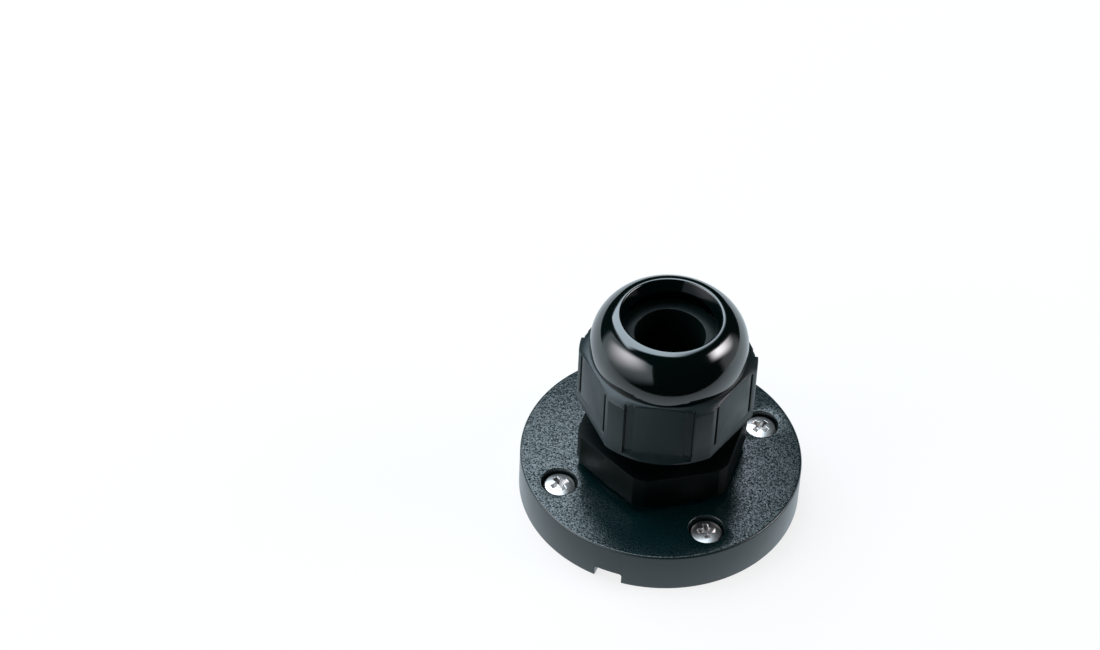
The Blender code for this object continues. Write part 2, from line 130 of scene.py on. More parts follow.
PLATE_RADIUS, PLATE_BOTTOM, PLATE_TOP = span("flange_plate")
GASKET_RADIUS, GASKET_BOTTOM, GASKET_TOP = span("hex_gasket")
BODY_BOTTOM, BODY_TOP = span("gland_body")[1:]
LOCK_RADIUS, LOCK_BOTTOM, LOCK_TOP = span("lock_nut")
SEAL_RADIUS, SEAL_BOTTOM, SEAL_TOP = span("sealing_insert")
NUT_BOTTOM, NUT_TOP = span("dome_nut")[1:]

SCREW_TURNS = [math.radians(angle) for angle in (28.0, 70.0, 12.0, 51.0)]


class GrommetPlate(PropertyGroup):
    """Flange plate, hollow underneath."""

    wall: length("Wall", "Thickness of the outer wall", 2.2)
    deck: length("Deck", "Thickness of the flat top", 3.0)
    draft: length("Draft", "How much the hollow narrows towards the deck", 0.25)
    hole: length("Hole radius", "Radius of the hole for the stub", 11.55)
    rim: rounding("Upper outer edge", 0.4)
    foot: rounding("Edges that rest on the wall", 0.15)
    fillet: length("Inner fillet", "Fillet between the wall and the deck underneath", 0.6)
    circle: length("Screw circle", "Radius of the circle through the screws", 19.5)
    counterbore: length("Counterbore radius", "Radius of the recess round a head", 3.2)
    seat: length("Counterbore floor", "Height of the recess floor", 5.3)
    screw_hole: length("Screw hole radius", "Radius of the through hole", 1.7)
    lip: rounding("Recess's upper edge", 0.15)
    boss: length("Boss radius", "Outer radius of the bosses underneath", 4.6)
    notch_width: length("Notch width", "Width of the notch in the rim", 5.0)
    notch_height: length("Notch height", "Height of the notch in the rim", 2.2)
    notch_corner: rounding("Notch's upper corners", 0.5)
    rib: length("Rib thickness", "Thickness of the ribs underneath", 1.2)
    rib_length: length("Rib length", "How far the ribs reach in from the wall", 4.0)
    rib_setback: length("Rib setback", "How far the ribs stay above the foot", 1.2)
    rib_turn: turn("Rib angle", "Angle between a rib and its main direction", 14.0)
    boss_steps: steps_round("boss", 64)
    hole_steps: steps_round("counterbore", 72)
    steps: steps_round("plate", 256)


class GrommetScrew(PropertyGroup):
    """Pan-head screws with a cross recess."""

    head_height: length("Head height", "Height of the pan head", 2.0)
    skirt: length("Skirt", "Straight part under the crown", 1.5)
    edge: rounding("Skirt's edges", 0.45)
    shank: length("Shank radius", "Radius of the core between the threads", 1.1)
    crest: length("Thread radius", "Radius of the thread's crest", 1.45)
    pitch: length("Pitch", "Distance from one thread crest to the next", 1.0)
    tip: length("Tip", "Length of the pointed end", 1.2)
    recess_span: length("Recess span", "Width across the cross recess", 3.5)
    recess_wing: length("Recess wing", "Width of a wing of the recess", 1.0)
    recess_corner: length("Recess corner", "Rounding between the wings", 0.25)
    recess_depth: length("Recess depth", "Depth of the recess", 1.3)
    recess_taper: share("Recess taper", "Size of the recess's floor next to its mouth", 0.5)
    recess_edge: rounding("Recess's upper edge", 0.07)
    thread_end: length("Thread end", "Distance from the head to the thread", 0.2)
    steps: steps_round("screw", 48)


class GrommetBody(PropertyGroup):
    """Gland body: stub, hexagon, neck and clamping fingers."""

    bore: length("Bore", "Radius of the bore through the stub", 8.2)
    socket: length("Socket", "Radius of the socket for the seal", 8.9)
    socket_floor: length("Socket floor", "Height of the ledge under the seal", 23.9)
    finger: length("Finger radius", "Outer radius of the fingers", 11.1)
    finger_tip: length("Finger tip radius", "Outer radius at the fingers' tips", 9.7)
    finger_taper: length("Finger taper", "Length of the tapered tips", 3.6)
    finger_length: length("Finger length", "Length of the fingers above the neck", 9.5)
    finger_root: length("Finger root", "Solid part below the slits", 0.8)
    fingers: count("Fingers", "How many fingers the ring has", 12)
    slit: length("Slit", "Width of the slits between the fingers", 0.9)
    neck: length("Neck radius", "Radius at the crest of the neck's thread", 11.9)
    thread_depth: length("Thread depth", "Depth of the threads", 0.75)
    pitch: length("Pitch", "Distance from one thread crest to the next", 1.5)
    hex_top: length("Hexagon top", "Height of the hexagon's upper face", 16.1)
    hex_bottom: length("Hexagon bottom", "Height of the hexagon's lower face", 9.6)
    hex_flat: length("Hexagon flat", "Distance from the axis to a flat", 13.65)
    hex_radius: length("Hexagon corner", "Distance from the axis to the trimmed corners", 15.16)
    hex_edge: rounding("Hexagon's edges", 0.12)
    hex_turn: turn("Hexagon turn", "Turn of a corner from the notch", 5.0)
    stub: length("Stub radius", "Radius at the crest of the stub's thread", 11.25)
    fine_edge: length("Fine edge", "Bevel of the fingers' edges", 0.06)
    bore_edge: rounding("Bore's lower edge", 0.3)
    socket_edge: rounding("Fingers' inner tips", 0.2)
    tip_edge: rounding("Fingers' outer tips", 0.35)
    taper_edge: length("Taper edge", "Rounding where the tips start to taper", 0.6)
    root_edge: length("Root edge", "Rounding under the fingers", 0.3)
    stub_edge: rounding("Stub's lower edge", 0.4)
    hex_steps: steps_round("hexagon", 144)
    thread_steps: count("Thread steps", "Steps in a turn of the threads", 120)
    steps: steps_round("body", 192)


class GrommetSeal(PropertyGroup):
    """Rubber seal and sealing ring."""

    hole: length("Seal hole", "Radius of the hole for the cable", 6.1)
    lip: rounding("Hole's upper edge", 0.15)
    ring_hole: length("Ring hole", "Inner radius of the sealing ring", 11.55)
    ring_edge: rounding("Sealing ring's edges", 0.35)
    steps: steps_round("seal", 144)


class GrommetLockNut(PropertyGroup):
    """Lock nut under the plate."""

    hole: length("Thread radius", "Radius of the threaded hole", 11.55)
    chamfer: length("Chamfer", "Chamfer at both ends of the thread", 0.5)
    edge: rounding("Edges", 0.2)
    steps: steps_round("lock nut", 144)


class GrommetNut(PropertyGroup):
    """Domed nut."""

    bore: length("Bore", "Radius of the bore over the neck", 12.2)
    flat: length("Flat", "Distance from the axis to a plain flat", 14.1)
    grip: length("Grip radius", "Radius of the rounded corners of the grip", 15.48)
    edge: rounding("Lower edge", 0.2)
    crease: length("Crease", "Height of the crease between grip and dome", 33.6)
    crease_width: length("Crease width", "Height of the crease's groove", 0.3)
    crease_depth: length("Crease depth", "Depth of the crease's groove", 0.25)
    shoulder: length("Shoulder", "Height of the slope from the grip to the crease", 1.05)
    shoulder_radius: length("Shoulder radius", "Radius at the slope's upper end", 14.0)
    dome: length("Dome radius", "Radius of the dome's upright wall", 13.7)
    spring: length("Dome spring", "Height at which the dome starts to bend in", 35.2)
    lip: length("Lip radius", "Bend radius of the lip round the mouth", 2.2)
    lip_crest: length("Lip crest", "Radius of the circle along the lip's top", 9.0)
    lip_edge: rounding("Lip's inner edge", 0.35)
    mouth: length("Mouth", "Radius at the narrow end of the mouth", 7.7)
    mouth_height: length("Mouth height", "Height of the mouth's sloping wall", 1.8)
    mouth_edge: rounding("Mouth's lower edge", 0.2)
    cone: length("Cone radius", "Radius of the inner cone at the finger tips", 10.28)
    cone_height: length("Cone height", "Height of the finger tips in the cone", 37.0)
    cone_foot: length("Cone foot", "Height at which the inner cone starts", 33.1)
    collar: length("Collar", "Height of the round collar under the pockets", 1.2)
    pocket_top: length("Pocket top", "Distance from the crease to the pockets", 0.05)
    pocket_depth: length("Pocket depth", "Depth of the channels beside the panels", 0.30)
    panel: length("Panel width", "Width of the raised panels", 9.0)
    panel_rise: length("Panel rise", "How far the panels stand over the channels", 0.22)
    channel: length("Channel width", "Width of the channels beside the panels", 1.55)
    groove: length("Groove width", "Width of the grooves along the channels", 0.28)
    groove_depth: length("Groove depth", "Depth of these grooves under the channels", 0.35)
    pocket_slope: share("Pocket slope", "How steeply the pockets' lower end falls outwards", 0.7)
    slot: length("Slot width", "Width of the slots in the plain flats", 0.6)
    slot_depth: length("Slot depth", "Depth of the slots", 0.8)
    slot_spacing: length("Slot spacing", "Distance between a flat's two slots", 10.1)
    slot_end: length("Slot end", "Distance from the crease to the slots", 0.9)
    slot_foot: length("Slot foot", "Height of the slots over the lower edge", 2.4)
    bevel: length("Cut bevel", "Bevel of the edges of pockets and slots", 0.07)
    turned: turn("Turn", "Turn of a pocket from the notch", 15.1)
    steps: steps_round("nut", 288)


class GrommetFinish(PropertyGroup):
    """Colours and surfaces."""

    nylon: colour("Nylon", "Colour of the moulded nylon", (0.0010, 0.0115, 0.0125))
    rubber: colour("Rubber", "Colour of the seal", (0.0022, 0.0075, 0.0068))
    steel: colour("Steel", "Colour of the screws", (0.74, 0.70, 0.68))
    grain: length("Grain", "Size of the grain on the deck", 0.30)
    grain_depth: length("Grain depth", "Depth of the grain on the deck", 0.020)
    deck_roughness: roughness_of("Deck", 0.22)
    wall_roughness: roughness_of("Plate's side", 0.32)
    gland_roughness: roughness_of("Gland body", 0.42)
    grip_roughness: roughness_of("Nut's grip", 0.36)
    dome_roughness: roughness_of("Dome", 0.10)
    mouth_roughness: share("Mouth roughness", "Roughness inside the nut's mouth", 0.12)
    seal_roughness: roughness_of("Rubber", 0.40)
    # The gland body takes this darker colour too, as painted shade under the nut
    dome: colour("Dome", "Colour of the polished dome", (0.0004, 0.0030, 0.0026))
    sheen: share("Reflection", "Strength of the nylon's reflection", 0.9)


class GrommetStage(PropertyGroup):
    """Camera, lights and floor."""

    aim: FloatVectorProperty(
        name="Aim",
        description="Point in the middle of the picture",
        default=(-33.03 * MM, 29.24 * MM, 0.0),
        subtype="TRANSLATION",
        unit="LENGTH",
    )
    azimuth: turn("Azimuth", "Turn of the camera round the object", 20.6)
    elevation: turn("Elevation", "Height of the camera as an angle", 44.61)
    roll: turn("Roll", "Turn of the camera round its own axis", 2.456)
    distance: length("Distance", "Distance from the camera to the aim", 648.7)
    lens: factor("Lens", "Focal length in millimetres", 113.6)
    paper_front: length("Paper front", "From the axis to the paper's front edge", 72.0)
    paper_size: length("Paper size", "Width and depth of the paper", 900.0)
    paper: colour("Paper", "Colour of the paper", (0.86, 0.86, 0.86))
    paper_reflection: colour("Paper in reflections", "Light of the paper in reflections", (0.52, 0.60, 0.65))
    paper_dim: share("Paper dimming", "Light of the paper's front edge next to the rest", 0.5)
    paper_lift: factor("Paper lift", "Brightness that makes up for the part that shows the shadow", 1.06)
    shadow: share("Shadow", "How much of the shadow on the paper shows", 0.25)
    room: colour("Room", "Light from the dark room round the table", (0.006, 0.008, 0.008))


SETTINGS = {
    "grommet_plate": GrommetPlate,
    "grommet_screw": GrommetScrew,
    "grommet_body": GrommetBody,
    "grommet_seal": GrommetSeal,
    "grommet_lock_nut": GrommetLockNut,
    "grommet_nut": GrommetNut,
    "grommet_finish": GrommetFinish,
    "grommet_stage": GrommetStage,
}


# Shapes

def arc(centre, radius, start, end, steps):
    """Points on an arc in the plane of a profile, from start to end in radians."""
    points = []
    for step in range(steps + 1):
        angle = start + (end - start) * step / steps
        points.append((centre[0] + radius * math.cos(angle), centre[1] + radius * math.sin(angle)))
    return points


def outline(bm, corners, place=Matrix.Identity(4)):
    """A closed outline of (x, z) or (x, z, rounding) corners in the plane y = 0, as a face."""
    verts = [bm.verts.new((corner[0], 0.0, corner[1])) for corner in corners]
    face = bm.faces.new(verts)
    known = set(bm.verts) - set(verts)
    for vert, corner in zip(verts, corners):
        if len(corner) == 3 and corner[2] > 0.0:
            bmesh.ops.bevel(
                bm,
                geom=[vert],
                offset=corner[2],
                segments=CORNER_SEGMENTS,
                profile=0.5,
                affect="VERTICES",
                material=-1,
            )
    fresh = [vert for vert in bm.verts if vert not in known]
    bmesh.ops.transform(bm, matrix=place, verts=fresh)
    return next(item for item in bm.faces if set(item.verts) == set(fresh))


def turned(corners, steps, place=Matrix.Identity(4)):
    """A closed outline of (radius, height) corners, spun round the Z axis of place."""
    bm = bmesh.new()
    face = outline(bm, corners)
    bmesh.ops.delete(bm, geom=[face], context="FACES_ONLY")
    on_axis = [edge for edge in bm.edges if max(vert.co.xy.length for vert in edge.verts) < TOUCHING]
    bmesh.ops.delete(bm, geom=on_axis, context="EDGES")
    bmesh.ops.spin(
        bm,
        geom=bm.verts[:] + bm.edges[:],
        cent=(0.0, 0.0, 0.0),
        axis=(0.0, 0.0, 1.0),
        angle=math.tau,
        steps=steps,
        use_merge=True,
    )
    poles = [vert for vert in bm.verts if vert.co.xy.length < TOUCHING]
    bmesh.ops.remove_doubles(bm, verts=poles, dist=TOUCHING)
    bmesh.ops.transform(bm, matrix=place, verts=bm.verts)
    return bm


def pulled(bm, face, way):
    """Make a closed body from a face and its copy at the end of way, whose corners are returned."""
    grown = bmesh.ops.extrude_face_region(bm, geom=[face], use_keep_orig=True)
    far = [item for item in grown["geom"] if isinstance(item, bmesh.types.BMVert)]
    bmesh.ops.translate(bm, vec=way, verts=far)
    return far


def extruded(corners, height, place=Matrix.Identity(4), taper=1.0):
    """A closed outline of (x, y) corners, standing on the plane z = 0 of place."""
    bm = bmesh.new()
    face = outline(bm, corners, Matrix.Rotation(math.radians(90), 4, "X"))
    bmesh.ops.transform(bm, matrix=Matrix.Diagonal((1.0, -1.0, 1.0, 1.0)), verts=bm.verts)
    far = pulled(bm, face, (0.0, 0.0, height))
    if taper != 1.0:
        bmesh.ops.scale(bm, vec=(taper, taper, 1.0), verts=far)
    bmesh.ops.transform(bm, matrix=place, verts=bm.verts)
    return bm


def blocks(half, outer, inner, bottom, height, places):
    """Upright blocks of width 2 * half between two distances from the axis, one for each place."""
    plan = [(-half, -outer), (half, -outer), (half, -inner), (-half, -inner)]
    lift = Matrix.Translation((0.0, 0.0, bottom))
    return [extruded(plan, height, place @ lift) for place in places]


def taken(piece):
    """The mesh of a piece as a bmesh. The piece itself is removed."""
    bm = bmesh.new()
    bm.from_mesh(piece.data)
    bpy.data.objects.remove(piece, do_unlink=True)
    return bm


def joined(parts):
    """One bmesh with the geometry of several, which are freed."""
    whole = bmesh.new()
    for part in parts:
        mesh = bpy.data.meshes.new("part")
        part.to_mesh(mesh)
        part.free()
        whole.from_mesh(mesh)
        bpy.data.meshes.remove(mesh)
    return whole


def hexagon(radius, flat, bottom, top, edge, angle, steps):
    """A disc with six flats. One of its corners is turned by angle from -Y."""
    profile = [(0.0, bottom), (radius, bottom), (radius, top), (0.0, top)]
    piece = make_piece("blank", turned(profile, steps))
    height = top - bottom + 2 * edge
    places = around(6, angle + math.pi / 6)
    sides = blocks(flat * FLAT_REACH, radius * 2, flat, bottom - edge, height, places)
    combine(piece, joined(sides[0::2]), "DIFFERENCE")
    combine(piece, joined(sides[1::2]), "DIFFERENCE")
    bevel_edges(piece, edge, math.radians(15), segments=3)
    return taken(piece)


def thread(root, crest, bottom, top, pitch, steps):
    """A ridge that winds up a core of radius root, from bottom to top."""
    bm = bmesh.new()
    sunk = (crest - root) / 4
    base = pitch * THREAD_ROOT
    tip = pitch * THREAD_TIP
    corners = [(root - sunk, bottom), (crest, bottom + base - tip), (crest, bottom + base + tip)]
    corners.append((root - sunk, bottom + base * 2))
    face = outline(bm, corners)
    bmesh.ops.delete(bm, geom=[face], context="FACES_ONLY")
    turns = (top - bottom - base * 2) / pitch
    total = max(1, round(steps * turns))
    bmesh.ops.spin(
        bm,
        geom=bm.verts[:] + bm.edges[:],
        cent=(0.0, 0.0, 0.0),
        axis=(0.0, 0.0, 1.0),
        dvec=(0.0, 0.0, pitch * turns / total),
        angle=math.tau * turns,
        steps=total,
    )
    bmesh.ops.holes_fill(bm, edges=[edge for edge in bm.edges if edge.is_boundary])
    return bm


def around(number, angle, radius=0.0):
    """Placements evenly spaced on a circle, the first one facing -Y and turned by angle."""
    for index in range(number):
        where = angle + math.tau * index / number
        yield Matrix.Rotation(where, 4, "Z") @ Matrix.Translation((0.0, -radius, 0.0))


# Pieces

def add_object(name, data):
    thing = bpy.data.objects.new(name, data)
    bpy.context.collection.objects.link(thing)
    return thing


def add_mesh(name, bm):
    """Turn a bmesh into an object at the origin."""
    mesh = bpy.data.meshes.new(name)
    bm.to_mesh(mesh)
    bm.free()
    return add_object(name, mesh)


def make_piece(name, bm):
    """Turn a bmesh into an object at the origin, with its faces pointing out."""
    bmesh.ops.recalc_face_normals(bm, faces=bm.faces)
    return add_mesh(name, bm)


def keep_result(piece):
    """Apply the modifiers of a piece to its mesh."""
    graph = bpy.context.evaluated_depsgraph_get()
    mesh = bpy.data.meshes.new_from_object(piece.evaluated_get(graph))
    if not mesh.polygons:
        raise RuntimeError(f"Nothing is left of {piece.name}")
    old = piece.data
    piece.modifiers.clear()
    piece.data = mesh
    bpy.data.meshes.remove(old)


def combine(piece, bm, operation):
    """Cut the shape of bm out of a piece, or join it to the piece."""
    tool = make_piece("tool", bm)
    modifier = piece.modifiers.new("Cut", "BOOLEAN")
    modifier.operation = operation
    modifier.solver = "EXACT"
    modifier.object = tool
    keep_result(piece)
    bpy.data.objects.remove(tool, do_unlink=True)


def bevel_edges(piece, width, angle, segments=2):
    """Soften the edges that are sharper than angle."""
    modifier = piece.modifiers.new("Edges", "BEVEL")
    modifier.width = width
    modifier.segments = segments
    modifier.limit_method = "ANGLE"
    modifier.angle_limit = angle
    modifier.use_clamp_overlap = False
    modifier.miter_outer = "MITER_ARC"
    keep_result(piece)


def finish_piece(piece, surfaces, body, slot, *nodes, angle=35.0):
    """Shade a piece, give it its surfaces, and let it ride on its body for its nodes."""
    piece.data.shade_smooth()
    piece.data.set_sharp_from_angle(angle=math.radians(angle))
    piece.data.materials.clear()
    for surface in surfaces:
        piece.data.materials.append(material_of(surface))
    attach(piece, body)
    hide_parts(*nodes)


def paint_faces(piece, index, chosen):
    """Give a material index to the faces whose centre and normal are chosen."""
    for face in piece.data.polygons:
        if chosen(face.center, face.normal):
            face.material_index = index


# Materials

def set_inputs(tree, node, inputs):
    """Fill the inputs of a node with values, or link them to other nodes' outputs."""
    for name, value in inputs.items():
        if isinstance(value, bpy.types.NodeSocket):
            tree.links.new(value, node.inputs[name])
        else:
            node.inputs[name].default_value = value


def add_node(tree, kind, inputs=None, **settings):
    """Add a shader node and return its outputs."""
    node = tree.nodes.new(f"ShaderNode{kind}")
    for name, value in settings.items():
        setattr(node, name, value)
    set_inputs(tree, node, inputs or {})
    return node.outputs


def new_material(name):
    material = bpy.data.materials.new(name)
    material.use_nodes = True
    return material, material.node_tree


def dress(material, inputs):
    """Fill the inputs of a material's own shader."""
    tree = material.node_tree
    set_inputs(tree, tree.nodes["Principled BSDF"], inputs)
    return material


def noise(tree, size, detail=2.0, roughness=0.5):
    """Noise on object coordinates, with features of about the given size."""
    place = add_node(tree, "TexCoord")["Object"]
    inputs = {"Vector": place, "Scale": 1.0 / size, "Detail": detail, "Roughness": roughness}
    return add_node(tree, "TexNoise", inputs)["Fac"]


def ramp(tree, value, start, end, low=0.0, high=1.0, **settings):
    """Map a value's range from start to end onto the range from low to high."""
    inputs = {"Value": value, "From Min": start, "From Max": end, "To Min": low, "To Max": high}
    return add_node(tree, "MapRange", inputs, **settings)["Result"]


def spread(tree, value, low, high, reach=0.2):
    """Map a noise value near the middle of its range to the range from low to high."""
    return ramp(tree, value, 0.5 - reach, 0.5 + reach, low, high)


def bump(tree, value, depth, below=None):
    """A bump of the given depth, which may stand on another bump."""
    inputs = {"Height": value, "Strength": 1.0, "Distance": depth}
    if below:
        inputs["Normal"] = below
    return add_node(tree, "Bump", inputs)["Normal"]


def mottled(tree, value, base, change):
    """A colour that grows lighter and darker by change with a noise value."""
    dark = (*[part * (1.0 - change) for part in base], 1.0)
    light = (*[part * (1.0 + change) for part in base], 1.0)
    return add_node(tree, "Mix", {"Factor": value, "A": dark, "B": light}, data_type="RGBA")["Result"]


def moulded(name, base, roughness, reflection, grain, grain_depth, wave_depth=0.0, skin=None):
    """Moulded plastic or rubber: a fine grain, uneven gloss and a faint flow of colour."""
    material, tree = new_material(name)
    waves = bump(tree, noise(tree, 7.0 * MM, 1.0), wave_depth) if wave_depth else None
    inputs = {
        "Base Color": mottled(tree, noise(tree, 6.0 * MM, 3.0), base, 0.25),
        "Roughness": spread(tree, noise(tree, 2.5 * MM, 4.0), roughness * 0.88, roughness * 1.12),
        "Specular IOR Level": reflection,
        "Normal": bump(tree, noise(tree, grain, 2.0, 0.6), grain_depth, waves),
    }
    if skin is not None:
        inputs.update({"Coat Weight": 1.0, "Coat IOR": 1.55, "Coat Roughness": skin})
    return dress(material, inputs)


def deck_surface(name, finish):
    """The deck's spark-eroded grain: coarse pits with finer ones between them, and through the reflection's
    strength painted shade in the pits and painted glints on the rises.
    """
    material, tree = new_material(name)
    pits = noise(tree, finish.grain, 3.0, 0.65)
    coarse = bump(tree, noise(tree, finish.grain * 2.2, 1.0), finish.grain_depth)
    rough = finish.deck_roughness
    inputs = {
        "Base Color": mottled(tree, noise(tree, 5.0 * MM, 3.0), finish.nylon, 0.3),
        "Roughness": spread(tree, pits, rough + 0.08, rough - 0.08),
        "IOR": 1.6,
        # Painted shade and glints: the pits reflect nothing and the rises between them reflect fully
        "Specular IOR Level": spread(tree, pits, 0.0, 1.0, reach=0.12),
        "Normal": bump(tree, pits, finish.grain_depth, coarse),
    }
    return dress(material, inputs)


def steel_surface(name, finish):
    """Bright stainless steel with faint waves from its cold heading and a few scuffs."""
    material, tree = new_material(name)
    inputs = {
        "Metallic": 1.0,
        "Base Color": mottled(tree, noise(tree, 0.9 * MM, 3.0), finish.steel, 0.06),
        "Roughness": spread(tree, noise(tree, 0.25 * MM, 4.0, 0.7), 0.26, 0.38),
        "Normal": bump(tree, noise(tree, 0.8 * MM, 1.0), 0.002 * MM),
    }
    return dress(material, inputs)


def moulded_surfaces(finish):
    """What moulded gets for each surface, from the colour to the skin."""
    nylon, dome, sheen = finish.nylon, finish.dome, finish.sheen
    wall = finish.wall_roughness
    return {
        "wall_surface": (nylon, wall, sheen * 0.6, 0.12 * MM, 0.003 * MM, 0.0, wall),
        # The gland body: the dome's darker colour and the weakest reflection paint shade on the hexagon
        # under the nut
        "gland_painted_shade_surface": (dome, finish.gland_roughness, sheen * 0.15, 0.15 * MM, 0.002 * MM),
        "grip_surface": (nylon, finish.grip_roughness, sheen * 0.8, 0.20 * MM, 0.004 * MM, 0.02 * MM),
        "dome_surface": (dome, finish.dome_roughness, sheen, 1.2 * MM, 0.0012 * MM, 0.012 * MM, 0.03),
        # Inside the nut's mouth the dome's nylon reflects far more weakly: painted shade in the mouth
        "mouth_painted_shade_surface": (dome, finish.mouth_roughness, sheen * 0.35, 1.2 * MM, 0.001 * MM),
        "seal_surface": (finish.rubber, finish.seal_roughness, 0.3, 0.15 * MM, 0.004 * MM),
    }


SPECIAL_SURFACES = {"deck_surface": deck_surface, "steel_surface": steel_surface}


def material_of(name):
    """The named material, made when a piece first asks for it."""
    known = bpy.data.materials.get(name)
    if known:
        return known
    finish = bpy.context.scene.grommet_finish
    if name in SPECIAL_SURFACES:
        return SPECIAL_SURFACES[name](name, finish)
    return moulded(name, *moulded_surfaces(finish)[name])


class PieceOperator:
    """What all the operators share."""

    bl_options = {"REGISTER", "UNDO"}


class GROMMET_OT_flange_plate(PieceOperator, Operator):
    """Build the flange plate with its bosses, ribs, counterbores and notch"""

    bl_idname = "grommet.flange_plate"
    bl_label = "Flange plate"

    def execute(self, context):
        sizes = context.scene.grommet_plate
        plate = make_piece("flange_plate_body", turned(self.shell(sizes), sizes.steps))
        combine(plate, self.bosses(sizes), "UNION")
        combine(plate, self.ribs(sizes), "UNION")
        combine(plate, self.screw_holes(sizes), "DIFFERENCE")
        combine(plate, self.notch(sizes), "DIFFERENCE")
        surfaces = ("wall_surface", "deck_surface")
        finish_piece(plate, surfaces, BODY, "grained_nylon", "flange_plate")
        level = PLATE_TOP - sizes.rim / 2
        paint_faces(plate, 1, lambda spot, normal: spot.z > level and normal.z > FACING_UP)
        return {"FINISHED"}

    def shell(self, sizes):
        hollow = PLATE_RADIUS - sizes.wall
        under = PLATE_TOP - sizes.deck
        return [
            (sizes.hole, under),
            (sizes.hole, PLATE_TOP),
            (PLATE_RADIUS, PLATE_TOP, sizes.rim),
            (PLATE_RADIUS, PLATE_BOTTOM, sizes.foot),
            (hollow, PLATE_BOTTOM, sizes.foot),
            (hollow - sizes.draft, under, sizes.fillet),
        ]

    def at_screws(self, sizes, profile, steps):
        """The same turned form round the axis of each screw."""
        places = around(len(SCREWS), math.pi / len(SCREWS), sizes.circle)
        return joined([turned(profile, steps, place) for place in places])

    def bosses(self, sizes):
        top = PLATE_TOP - sizes.deck / 2
        profile = [(0.0, PLATE_BOTTOM), (sizes.boss, PLATE_BOTTOM, sizes.foot)]
        profile += [(sizes.boss, top), (0.0, top)]
        return self.at_screws(sizes, profile, sizes.boss_steps)

    def ribs(self, sizes):
        half = sizes.rib / 2
        outer = PLATE_RADIUS - sizes.wall / 2
        inner = PLATE_RADIUS - sizes.wall - sizes.rib_length
        bottom = PLATE_BOTTOM + sizes.rib_setback
        height = PLATE_TOP - sizes.deck / 2 - sizes.rib_setback
        places = []
        for side in (-1, 1):
            places += around(len(SCREWS), side * sizes.rib_turn)
        return joined(blocks(half, outer, inner, bottom, height, places))

    def screw_holes(self, sizes):
        """Stepped cutters that flare at the deck, so that they leave a rounded lip."""
        past = sizes.lip * 4
        outer = sizes.counterbore + sizes.lip
        lip = arc((outer, PLATE_TOP - sizes.lip), sizes.lip, math.pi, math.pi / 2, 5)
        profile = [(0.0, PLATE_BOTTOM - past), (sizes.screw_hole, PLATE_BOTTOM - past)]
        profile += [(sizes.screw_hole, sizes.seat), (sizes.counterbore, sizes.seat, sizes.lip)]
        profile += lip + [(outer, PLATE_TOP + past), (0.0, PLATE_TOP + past)]
        return self.at_screws(sizes, profile, sizes.hole_steps)

    def notch(self, sizes):
        half = sizes.notch_width / 2
        past = sizes.notch_height
        bm = bmesh.new()
        corners = [(-half, PLATE_BOTTOM - past), (half, PLATE_BOTTOM - past)]
        corners += [(half, sizes.notch_height, sizes.notch_corner)]
        corners += [(-half, sizes.notch_height, sizes.notch_corner)]
        pulled(bm, outline(bm, corners), (0.0, sizes.wall * 3, 0.0))
        bmesh.ops.translate(bm, vec=(0.0, -PLATE_RADIUS - sizes.wall, 0.0), verts=bm.verts)
        return bm


class GROMMET_OT_screws(PieceOperator, Operator):
    """Build the four fixing screws"""

    bl_idname = "grommet.screws"
    bl_label = "Screws"

    def execute(self, context):
        sizes = context.scene.grommet_screw
        for number, node in enumerate(SCREWS):
            low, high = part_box(node)
            middle = (low + high) / 2
            head = (high[0] - low[0]) / 2
            seat = high[2] - sizes.head_height
            bm = turned(self.profile(sizes, head, low[2] - seat), sizes.steps)
            screw = make_piece(f"{node}_turned", bm)
            combine(screw, self.recess(sizes), "DIFFERENCE")
            bevel_edges(screw, sizes.recess_edge, math.radians(40))
            start = low[2] - seat + sizes.tip / 2
            ridge = thread(sizes.shank, sizes.crest, start, -sizes.thread_end, sizes.pitch, sizes.steps // 2)
            screw = make_piece(f"{node}_steel", joined([taken(screw), ridge]))
            spin = Matrix.Rotation(SCREW_TURNS[number], 4, "Z")
            screw.data.transform(Matrix.Translation((middle[0], middle[1], seat)) @ spin)
            finish_piece(screw, ["steel_surface"], BODY, "stainless_steel", node, angle=40.0)
        return {"FINISHED"}

    def profile(self, sizes, head, end):
        """Outline of the pan head, whose crown is part of a ball, and of its shank."""
        rise = sizes.head_height - sizes.skirt
        ball = (head ** 2 + rise ** 2) / (2 * rise)
        edge = math.asin(head / ball)
        middle = (0.0, sizes.head_height - ball)
        crown = arc(middle, ball, math.pi / 2 - edge, math.pi / 2, 10)
        corners = [(0.0, end), (sizes.shank / 4, end), (sizes.shank, end + sizes.tip)]
        corners += [(sizes.shank, 0.0), (head, 0.0, sizes.edge / 2)]
        corners.append((*crown[0], sizes.edge))
        return corners + crown[1:]

    def recess(self, sizes):
        """A cross with rounded inner corners, tapered towards its floor."""
        wing = sizes.recess_wing / 2
        reach = sizes.recess_span / 2
        plan = []
        for quarter in range(4):
            spin = Matrix.Rotation(quarter * math.pi / 2, 2)
            inner = spin @ Vector((wing, wing))
            plan.append((inner.x, inner.y, sizes.recess_corner))
            plan += [tuple(spin @ Vector(end)) for end in ((wing, reach), (-wing, reach))]
        past = sizes.recess_depth / 20
        place = Matrix.Translation((0.0, 0.0, sizes.head_height + past))
        return extruded(plan, -sizes.recess_depth - past, place, sizes.recess_taper)


class GROMMET_OT_gasket(PieceOperator, Operator):
    """Build the sealing ring under the hexagon"""

    bl_idname = "grommet.gasket"
    bl_label = "Sealing ring"

    def execute(self, context):
        sizes = context.scene.grommet_seal
        corners = [(sizes.ring_hole, GASKET_BOTTOM), (GASKET_RADIUS, GASKET_BOTTOM, sizes.ring_edge)]
        corners += [(GASKET_RADIUS, GASKET_TOP, sizes.ring_edge), (sizes.ring_hole, GASKET_TOP)]
        ring = make_piece("hexagon_ring", turned(corners, sizes.steps))
        finish_piece(ring, ["seal_surface"], BODY, "black_rubber", "hex_gasket")
        return {"FINISHED"}


